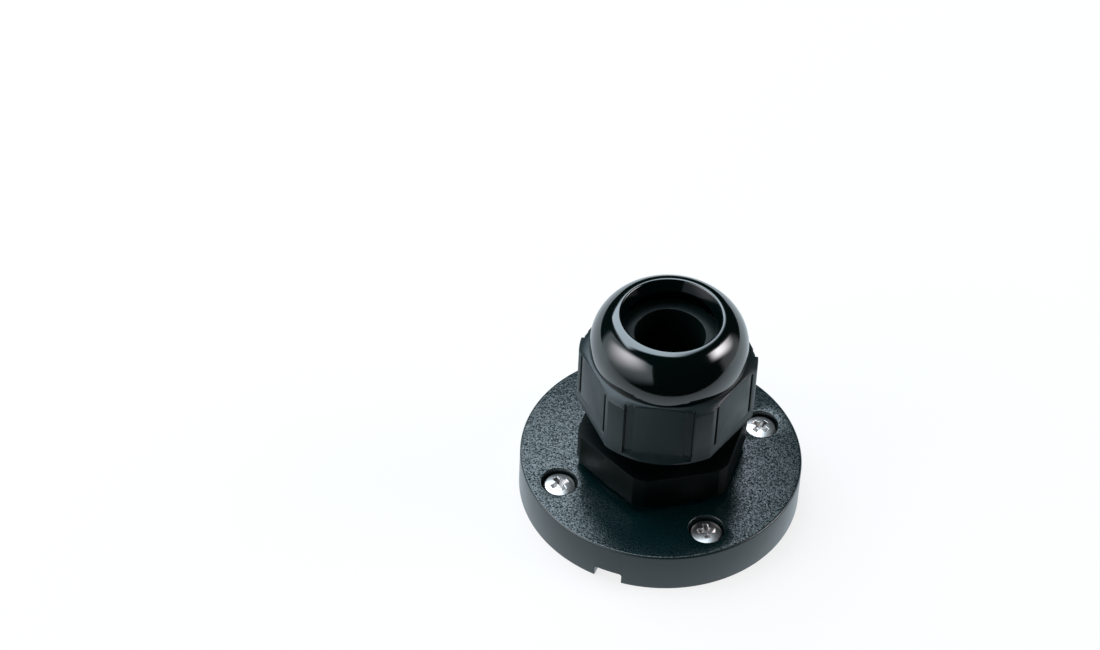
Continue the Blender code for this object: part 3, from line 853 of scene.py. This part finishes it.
class GROMMET_OT_gland_body(PieceOperator, Operator):
    """Build the gland body: stub, hexagon, threaded neck and clamping fingers"""

    bl_idname = "grommet.gland_body"
    bl_label = "Gland body"

    def execute(self, context):
        sizes = context.scene.grommet_body
        body = make_piece("gland_turned", turned(self.profile(sizes), sizes.steps))
        combine(body, self.slits(sizes), "DIFFERENCE")
        bevel_edges(body, sizes.fine_edge, math.radians(50))
        ends = (sizes.hex_bottom, sizes.hex_top)
        making = (sizes.hex_edge, sizes.hex_turn, sizes.hex_steps)
        nut = hexagon(sizes.hex_radius, sizes.hex_flat, *ends, *making)
        depth = sizes.thread_depth
        neck_top = BODY_TOP - sizes.finger_length
        threads = [
            thread(crest - depth, crest, bottom, top, sizes.pitch, sizes.thread_steps)
            for crest, bottom, top in (
                (sizes.neck, sizes.hex_top, neck_top - depth),
                (sizes.stub, BODY_BOTTOM + depth / 2, sizes.hex_bottom),
            )
        ]
        body = make_piece("gland_moulding", joined([taken(body), nut, *threads]))
        # Its surface paints shade: a darker colour and a much weaker reflection than the other nylon
        finish_piece(body, ["gland_painted_shade_surface"], BODY, "satin_nylon", "gland_body")
        return {"FINISHED"}

    def profile(self, sizes):
        """Outline of the turned form: bore, socket, fingers, neck and stub."""
        neck = sizes.neck - sizes.thread_depth
        neck_top = BODY_TOP - sizes.finger_length
        stub = sizes.stub - sizes.thread_depth
        middle = (sizes.hex_bottom + sizes.hex_top) / 2
        return [
            (sizes.bore, BODY_BOTTOM, sizes.bore_edge),
            (sizes.bore, sizes.socket_floor),
            (sizes.socket, sizes.socket_floor),
            (sizes.socket, BODY_TOP, sizes.socket_edge),
            (sizes.finger_tip, BODY_TOP, sizes.tip_edge),
            (sizes.finger, BODY_TOP - sizes.finger_taper, sizes.taper_edge),
            (sizes.finger, neck_top),
            (neck, neck_top, sizes.root_edge),
            (neck, middle),
            (stub, middle),
            (stub, BODY_BOTTOM, sizes.stub_edge),
        ]

    def slits(self, sizes):
        half = sizes.slit / 2
        inner = sizes.socket - sizes.slit
        outer = sizes.finger + sizes.slit
        bottom = BODY_TOP - sizes.finger_length + sizes.finger_root
        places = around(sizes.fingers, sizes.hex_turn)
        return joined(blocks(half, outer, inner, bottom, sizes.finger_length, places))


class GROMMET_OT_lock_nut(PieceOperator, Operator):
    """Build the lock nut under the plate"""

    bl_idname = "grommet.lock_nut"
    bl_label = "Lock nut"

    def execute(self, context):
        sizes = context.scene.grommet_lock_nut
        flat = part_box("lock_nut")[1][1]
        ends = (LOCK_BOTTOM, LOCK_TOP)
        blank = hexagon(LOCK_RADIUS, flat, *ends, sizes.edge, math.pi / 6, sizes.steps)
        nut = make_piece("lock_nut_moulding", blank)
        lead = sizes.hole + sizes.chamfer
        past = sizes.chamfer * 2
        corners = [(0.0, LOCK_BOTTOM - past), (lead, LOCK_BOTTOM - past), (lead, LOCK_BOTTOM)]
        corners += [(sizes.hole, LOCK_BOTTOM + sizes.chamfer), (sizes.hole, LOCK_TOP - sizes.chamfer)]
        corners += [(lead, LOCK_TOP), (lead, LOCK_TOP + past), (0.0, LOCK_TOP + past)]
        combine(nut, turned(corners, sizes.steps), "DIFFERENCE")
        # The lock nut shares the gland body's surface with its painted shade
        finish_piece(nut, ["gland_painted_shade_surface"], BODY, "satin_nylon", "lock_nut")
        return {"FINISHED"}


class GROMMET_OT_seal(PieceOperator, Operator):
    """Build the rubber seal"""

    bl_idname = "grommet.seal"
    bl_label = "Seal"

    def execute(self, context):
        sizes = context.scene.grommet_seal
        corners = [
            (sizes.hole, SEAL_BOTTOM, sizes.lip),
            (sizes.hole, SEAL_TOP, sizes.lip),
            (SEAL_RADIUS, SEAL_TOP, sizes.lip),
            (SEAL_RADIUS, SEAL_BOTTOM, sizes.lip / 2),
        ]
        seal = make_piece("cable_seal", turned(corners, sizes.steps))
        finish_piece(seal, ["seal_surface"], BODY, "black_rubber", "sealing_insert")
        return {"FINISHED"}


class GROMMET_OT_dome_nut(PieceOperator, Operator):
    """Build the domed nut with its pocketed and plain flats"""

    bl_idname = "grommet.dome_nut"
    bl_label = "Domed nut"

    def execute(self, context):
        sizes = context.scene.grommet_nut
        nut = make_piece("dome_nut_moulding", turned(self.profile(sizes), sizes.steps))
        combine(nut, self.plain_flats(sizes), "DIFFERENCE")
        combine(nut, self.pockets(sizes), "DIFFERENCE")
        combine(nut, self.slots(sizes), "DIFFERENCE")
        bevel_edges(nut, sizes.bevel, math.radians(32))
        surfaces = ("grip_surface", "dome_surface", "mouth_painted_shade_surface")
        finish_piece(nut, surfaces, NUT, "gloss_nylon", "dome_nut", angle=30.0)
        inside = sizes.lip_crest - sizes.lip_edge
        paint_faces(nut, 1, lambda spot, normal: spot.z > sizes.crease and spot.xy.length > inside)
        # Painted shade inside the mouth: these faces get the weakly reflecting surface
        paint_faces(nut, 2, lambda spot, normal: spot.z > sizes.cone_foot and spot.xy.length < inside)
        return {"FINISHED"}

    def dome(self, sizes):
        """Two arcs that meet smoothly: the dome's bend and the tighter lip round the mouth."""
        across = sizes.dome - sizes.lip_crest
        rise = NUT_TOP - sizes.lip - sizes.spring
        bend = (across ** 2 + rise ** 2 - sizes.lip ** 2) / (2 * (across - sizes.lip))
        centre = (sizes.dome - bend, sizes.spring)
        meet = math.atan2(rise, sizes.lip_crest - centre[0])
        points = arc(centre, bend, 0.0, meet, 40)
        points += arc((sizes.lip_crest, NUT_TOP - sizes.lip), sizes.lip, meet, math.pi / 2, 20)[1:]
        return points

    def profile(self, sizes):
        """Outline of the turned form: bore, inner cone, mouth, dome, crease and grip."""
        mouth_foot = NUT_TOP - sizes.mouth_height
        edge = sizes.lip_edge
        half = sizes.crease_width / 2
        inside = [(sizes.bore, NUT_BOTTOM, sizes.edge), (sizes.bore, sizes.cone_foot)]
        inside += [(sizes.cone, sizes.cone_height), (sizes.mouth, mouth_foot, sizes.mouth_edge)]
        inside += arc((sizes.lip_crest, NUT_TOP - edge), edge, math.pi * 5 / 6, math.pi / 2, 6)[:-1]
        dome = list(reversed(self.dome(sizes)))
        crease = [(sizes.dome, sizes.crease + half), (sizes.dome - sizes.crease_depth, sizes.crease)]
        crease.append((sizes.shoulder_radius, sizes.crease - half))
        grip = [(sizes.grip, sizes.crease - sizes.shoulder), (sizes.grip, NUT_BOTTOM, sizes.edge)]
        return inside + dome + crease + grip

    def plain_flats(self, sizes):
        flat = sizes.flat
        bottom = NUT_BOTTOM - sizes.edge
        height = sizes.crease - NUT_BOTTOM + sizes.edge
        places = around(3, sizes.turned + math.pi / 3)
        return joined(blocks(flat * FLAT_REACH, flat * 2, flat, bottom, height, places))

    def pockets(self, sizes):
        floor = sizes.flat - sizes.pocket_depth
        raised = floor + sizes.panel_rise
        panel = sizes.panel / 2
        side = panel + sizes.channel
        far = sizes.flat * 2
        deep = floor - sizes.groove_depth
        inner = side - sizes.groove
        half = [(side, -far), (side, -deep), (inner, -deep)]
        half += [(inner, -floor), (panel, -floor), (panel, -raised)]
        plan = half + [(-x, y) for x, y in reversed(half)]
        lift = Matrix.Translation((0.0, 0.0, NUT_BOTTOM + sizes.collar))
        height = sizes.crease - sizes.pocket_top - NUT_BOTTOM - sizes.collar
        parts = []
        for place in around(3, sizes.turned):
            pocket = extruded(plan, height, lift)
            low = [vert for vert in pocket.verts if vert.co.z < sizes.crease - height / 2]
            outer = [vert for vert in low if vert.co.y < -far / 2]
            drop = (floor - far) * sizes.pocket_slope
            bmesh.ops.translate(pocket, vec=(0.0, 0.0, drop), verts=outer)
            bmesh.ops.transform(pocket, matrix=place, verts=pocket.verts)
            parts.append(pocket)
        return joined(parts)

    def slots(self, sizes):
        """Upright slots with a round upper end."""
        half = sizes.slot / 2
        floor = sizes.flat - sizes.slot_depth
        bottom = NUT_BOTTOM + sizes.slot_foot
        top = sizes.crease - sizes.slot_end
        parts = []
        for place in around(3, sizes.turned + math.pi / 3):
            for side in (-1, 1):
                middle = side * sizes.slot_spacing / 2
                bm = bmesh.new()
                corners = [(middle - half, bottom), (middle + half, bottom)]
                corners += arc((middle, top - half), half, 0.0, math.pi, 10)
                pulled(bm, outline(bm, corners), (0.0, sizes.flat, 0.0))
                bmesh.ops.translate(bm, vec=(0.0, -floor - sizes.flat, 0.0), verts=bm.verts)
                bmesh.ops.transform(bm, matrix=place, verts=bm.verts)
                parts.append(bm)
        return joined(parts)


# Stage

SOFTBOXES = {
    "overhead_softbox": dict(
        azimuth=-119.9, elevation=63.4, pitch=63.4, roll=50.0, width=1.15, height=1.35,
        brightness=3.5, colour=(0.74, 0.89, 1.0), fade=(0.06, 0.22, 0.10, 0.28),
    ),
    "left_softbox": dict(
        azimuth=-47.4, elevation=14.0, pitch=0.0, roll=15.0, width=2.10, height=1.40,
        brightness=0.6, colour=(0.80, 0.92, 1.0), fade=(0.15, 0.03, 0.45, 0.04),
    ),
    "left_window": dict(
        azimuth=-45.0, elevation=27.2, pitch=0.0, roll=28.0, width=1.54, height=0.84,
        brightness=3.9, colour=(1.0, 0.96, 1.0), fade=(0.50, 0.50, 0.72, 0.27),
    ),
    "right_softbox": dict(
        azimuth=114.2, elevation=28.5, pitch=29.0, roll=-34.0, width=0.90, height=0.45,
        brightness=8.0, colour=(1.0, 0.97, 1.0), fade=(0.35, 0.65, 0.60, 0.16),
    ),
    "low_softbox": dict(
        azimuth=118.0, elevation=8.0, pitch=0.0, roll=0.0, width=0.95, height=0.60,
        brightness=0.35, colour=(0.92, 0.96, 1.0), fade=(0.25, 0.25, 0.20, 0.20),
    ),
}
SOFTBOX_DISTANCE = 1.0


def direction(azimuth, elevation):
    """Unit vector towards a place round the object. Azimuth runs from -Y towards +X."""
    level = math.cos(elevation)
    return Vector((math.sin(azimuth) * level, -math.cos(azimuth) * level, math.sin(elevation)))


def calculate(tree, operation, first, second):
    """The result of a sum on two sockets or numbers."""
    return add_node(tree, "Math", {0: first, 1: second}, operation=operation)["Value"]


def faded(tree, fade):
    """Brightness of a softbox, which falls off over a share of its width or height per edge."""
    surface = add_node(tree, "NewGeometry")["Parametric"]
    place = add_node(tree, "SeparateXYZ", {"Vector": surface})
    left, right, foot, head = fade
    edges = (("X", 0.0, left), ("X", 1.0, 1.0 - right), ("Y", 0.0, foot), ("Y", 1.0, 1.0 - head))
    brightness = 1.0
    for axis, outside, inside in edges:
        edge = ramp(tree, place[axis], outside, inside, interpolation_type="SMOOTHSTEP")
        brightness = calculate(tree, "MULTIPLY", edge, brightness)
    return brightness


def add_aimed(name, data, place, towards, roll):
    """Add a light or a camera that looks against towards, turned by roll round its own axis."""
    thing = add_object(name, data)
    thing.location = place
    thing.rotation_mode = "QUATERNION"
    look = (-towards).to_track_quat("-Z", "Y")
    thing.rotation_quaternion = look @ Quaternion((0.0, 0.0, 1.0), roll)
    return thing


def add_softbox(name, azimuth, elevation, pitch, roll, width, height, brightness, colour, fade):
    """An area light with soft edges. Brightness 1 looks white."""
    light = bpy.data.lights.new(name, "AREA")
    light.shape = "RECTANGLE"
    light.size = width
    light.size_y = height
    light.energy = brightness * math.pi * width * height
    light.color = colour
    light.use_nodes = True
    tree = light.node_tree
    set_inputs(tree, tree.nodes["Emission"], {"Strength": faded(tree, fade)})
    turned_to = math.radians(azimuth)
    place = direction(turned_to, math.radians(elevation)) * SOFTBOX_DISTANCE
    towards = direction(turned_to, math.radians(pitch))
    box = add_aimed(name, light, place, towards, math.radians(roll))
    box.visible_camera = False


def reflected_paper(tree, stage):
    """Colour of the paper in reflections, which dims towards its front edge."""
    place = add_node(tree, "TexCoord")["Object"]
    towards = direction(stage.azimuth, 0.0)
    depth = add_node(tree, "VectorMath", {0: place, 1: towards}, operation="DOT_PRODUCT")["Value"]
    light = ramp(tree, depth, stage.paper_front, 0.0, stage.paper_dim, PAPER_LIGHT_AT_OBJECT)
    tint = {0: stage.paper_reflection, "Scale": light}
    return add_node(tree, "VectorMath", tint, operation="SCALE")["Vector"]


def paper_material(stage):
    """White paper with a soft shadow for the camera, and dimmer paper for reflections."""
    material, tree = new_material("white_paper")
    inputs = {
        "Base Color": (*stage.paper, 1.0),
        "Roughness": 0.9,
        "Specular IOR Level": 0.0,
        "Normal": bump(tree, noise(tree, 1.5 * MM, 3.0), 0.01 * MM),
    }
    dress(material, inputs)
    path = add_node(tree, "LightPath")
    camera = path["Is Camera Ray"]
    seen = (*[stage.paper_lift] * 3, 1.0)
    colours = {"Factor": camera, "A": reflected_paper(tree, stage), "B": seen}
    light = add_node(tree, "Mix", colours, data_type="RGBA")["Result"]
    plain = add_node(tree, "Emission", {"Color": light})["Emission"]
    camera_part = calculate(tree, "MULTIPLY", camera, 1.0 - stage.shadow)
    part = calculate(tree, "ADD", camera_part, path["Is Glossy Ray"])
    lit = tree.nodes["Principled BSDF"].outputs["BSDF"]
    mix = add_node(tree, "MixShader", {"Fac": part, 1: lit, 2: plain})
    set_inputs(tree, tree.nodes["Material Output"], {"Surface": mix["Shader"]})
    return material


def add_paper(stage):
    """The sheet that the object stands on. It ends a little in front of the object."""
    bm = bmesh.new()
    bmesh.ops.create_grid(bm, x_segments=1, y_segments=1, size=stage.paper_size / 2)
    middle = Vector((0.0, stage.paper_size / 2 - stage.paper_front, -PAPER_GAP))
    place = Matrix.Rotation(stage.azimuth, 4, "Z") @ Matrix.Translation(middle)
    bmesh.ops.transform(bm, matrix=place, verts=bm.verts)
    paper = add_mesh("paper", bm)
    paper.data.materials.append(paper_material(stage))


def add_room(stage):
    """White for the camera, and a dark room for the light that falls on the object."""
    world = bpy.data.worlds.new("room")
    world.use_nodes = True
    tree = world.node_tree
    dark = add_node(tree, "Background", {"Color": (*stage.room, 1.0)})["Background"]
    white = add_node(tree, "Background", {"Color": (1.0, 1.0, 1.0, 1.0)})["Background"]
    camera = add_node(tree, "LightPath")["Is Camera Ray"]
    mix = add_node(tree, "MixShader", {"Fac": camera, 1: dark, 2: white})["Shader"]
    set_inputs(tree, tree.nodes["World Output"], {"Surface": mix})
    bpy.context.scene.world = world


def add_camera(stage):
    camera = bpy.data.cameras.new("camera")
    camera.lens = stage.lens
    towards = direction(stage.azimuth, stage.elevation)
    place = Vector(stage.aim) + towards * stage.distance
    bpy.context.scene.camera = add_aimed("camera", camera, place, towards, stage.roll)


class GROMMET_OT_stage(PieceOperator, Operator):
    """Set up the paper, the soft lights, the room and the camera"""

    bl_idname = "grommet.stage"
    bl_label = "Stage"

    def execute(self, context):
        stage = context.scene.grommet_stage
        add_paper(stage)
        for name, facts in SOFTBOXES.items():
            add_softbox(name, **facts)
        add_room(stage)
        add_camera(stage)
        context.scene.view_settings.view_transform = "Standard"
        return {"FINISHED"}


PIECES = (
    GROMMET_OT_flange_plate,
    GROMMET_OT_screws,
    GROMMET_OT_gasket,
    GROMMET_OT_gland_body,
    GROMMET_OT_lock_nut,
    GROMMET_OT_seal,
    GROMMET_OT_dome_nut,
    GROMMET_OT_stage,
)


class GROMMET_PT_sidebar(Panel):
    """Lists the pieces and the stage in the 3D view's sidebar"""

    bl_label = "Cable entry grommet"
    bl_idname = "GROMMET_PT_sidebar"
    bl_space_type = "VIEW_3D"
    bl_region_type = "UI"
    bl_category = "Grommet"

    def draw(self, context):
        column = self.layout.column(align=True)
        for piece in PIECES:
            column.operator(piece.bl_idname)
        for name, settings in SETTINGS.items():
            box = self.layout.box()
            box.label(text=settings.__doc__)
            group = getattr(context.scene, name)
            for size in settings.__annotations__:
                box.prop(group, size)


CLASSES = (*SETTINGS.values(), *PIECES, GROMMET_PT_sidebar)


def register():
    for item in CLASSES:
        bpy.utils.register_class(item)
    for name, settings in SETTINGS.items():
        setattr(bpy.types.Scene, name, PointerProperty(type=settings))


def unregister():
    for name in SETTINGS:
        delattr(bpy.types.Scene, name)
    for item in reversed(CLASSES):
        bpy.utils.unregister_class(item)


def main():
    register()
    bpy.ops.grommet.flange_plate()
    bpy.ops.grommet.screws()
    bpy.ops.grommet.gasket()
    bpy.ops.grommet.gland_body()
    bpy.ops.grommet.lock_nut()
    bpy.ops.grommet.seal()
    bpy.ops.grommet.dome_nut()
    bpy.ops.grommet.stage()


if __name__ == "__main__":
    main()
